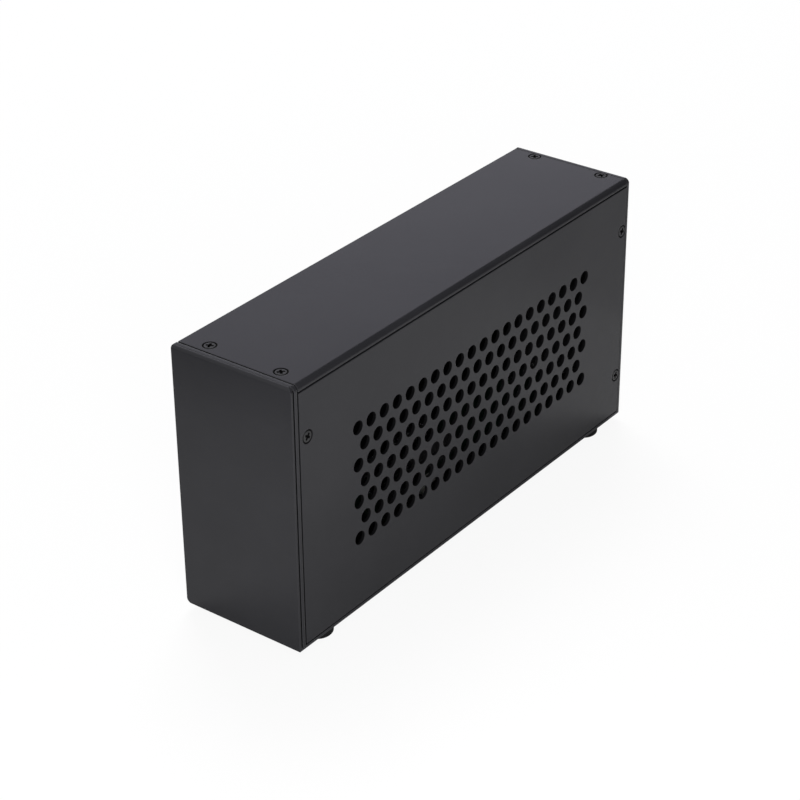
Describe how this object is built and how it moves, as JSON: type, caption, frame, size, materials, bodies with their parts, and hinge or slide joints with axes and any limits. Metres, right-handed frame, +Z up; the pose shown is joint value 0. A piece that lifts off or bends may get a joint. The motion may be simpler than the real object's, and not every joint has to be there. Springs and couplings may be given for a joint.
{
  "type": "external graphics card enclosure",
  "caption": "Slim black sheet metal box on rubber feet that holds a desktop graphics card beside a laptop, with a vented side, a card slot inside and blanked bracket openings at the rear.",
  "frame": {"origin": "middle of the footprint, on the surface that the feet stand on", "axes": "+X towards the vented right side, -Y towards the front face, +Z up"},
  "size_m": [0.07, 0.277, 0.144],
  "materials": {
    "coated_sheet": "satin black coating",
    "bonding_tape": "matt",
    "black_screw": "black zinc plating",
    "block_aluminium": "machined",
    "foot_rubber": "matt",
    "plated_steel": "zinc plating",
    "circuit_board": "solder mask",
    "connector_plastic": "moulded",
    "latch_plastic": "moulded",
    "button_plastic": "semi gloss",
    "chip_resin": "matt moulding",
    "heatsink_aluminium": "extruded",
    "capacitor_can": "bare can",
    "ferrite": "matt"
  },
  "bodies": {
    "enclosure": {"chassis": "coated_sheet", "front_fascia": "coated_sheet", "top_cover": "coated_sheet", "right_side_panel": "coated_sheet", "left_side_panel": "coated_sheet", "fascia_tape": "bonding_tape", "top_screws": "black_screw", "right_side_screws": "black_screw", "left_side_screws": "black_screw", "front_screw_blocks": "block_aluminium", "rear_screw_blocks": "block_aluminium", "feet": "foot_rubber", "slot_frame": "coated_sheet", "slot_blanks": "connector_plastic", "interface_board": "circuit_board", "board_standoffs": "plated_steel", "board_screws": "plated_steel", "card_slot": "connector_plastic", "host_port": "plated_steel", "power_inlet": "connector_plastic", "button_switch": "connector_plastic", "controller_chip": "chip_resin", "controller_heatsink": "heatsink_aluminium", "capacitors": "capacitor_can", "inductors": "ferrite", "card_power_socket": "connector_plastic"},
    "latch": {"slot_latch": "latch_plastic"},
    "button": {"power_button": "button_plastic"}
  },
  "joints": [
    {"name": "latch_hinge", "type": "hinge", "parent": "enclosure", "child": "latch", "pos_m": [0.01526, -0.0145, 0.0186], "axis": [1, 0, 0], "range_deg": [0, 35]},
    {"name": "button_press", "type": "slide", "parent": "enclosure", "child": "button", "axis": [0, -1, 0], "range_m": [0, 0.001], "stiffness_N_per_m": 400, "springref_m": -0.0005}
  ]
}
